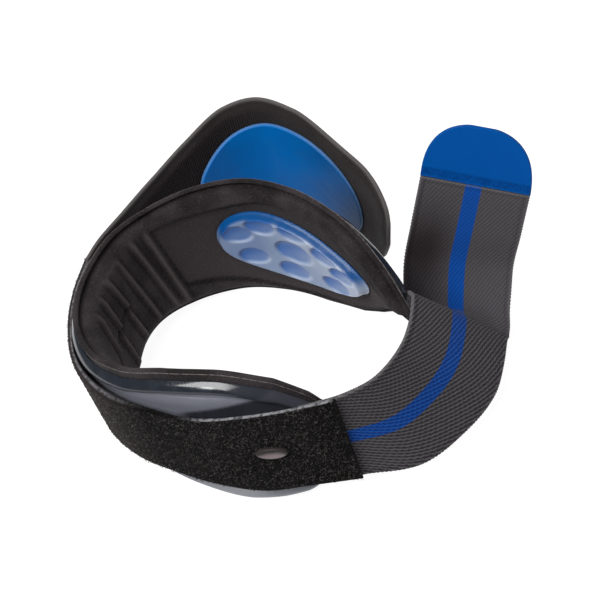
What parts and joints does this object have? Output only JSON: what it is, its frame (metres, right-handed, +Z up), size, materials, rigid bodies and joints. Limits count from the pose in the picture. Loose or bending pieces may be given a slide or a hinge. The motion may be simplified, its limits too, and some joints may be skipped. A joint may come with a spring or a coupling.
{
  "type": "tennis elbow strap",
  "caption": "Forearm clasp of sprung plastic with padded lining, gel pressure pads, a side wing and an elastic webbing strap that closes round the arm.",
  "frame": {"origin": "middle of the part's footprint, on the surface that the clasp stands on", "axes": "+Z up along the forearm, +Y towards the wing behind the far arm, +X towards the open side and the free end of the strap"},
  "size_m": [0.1776, 0.1548, 0.0708],
  "materials": {
    "liner": "black laminated foam with brushed face",
    "friction_pad": "pale translucent blue gel, satin",
    "shell": "slate grey, glossy",
    "outer_band": "black loop pile",
    "wing": "black ribbed lining",
    "smooth_pad": "blue gel, glossy",
    "strap": "dark grey twill webbing with a blue centre stripe",
    "end_tab": "blue, satin",
    "stud": "black, glossy"
  },
  "bodies": {
    "root": {"liner": "liner", "friction_pad": "friction_pad", "shell": "shell", "outer_band": "outer_band", "wing": "wing", "smooth_pad": "smooth_pad", "strap": "strap", "end_tab": "end_tab", "stud": "stud"}
  },
  "joints": []
}
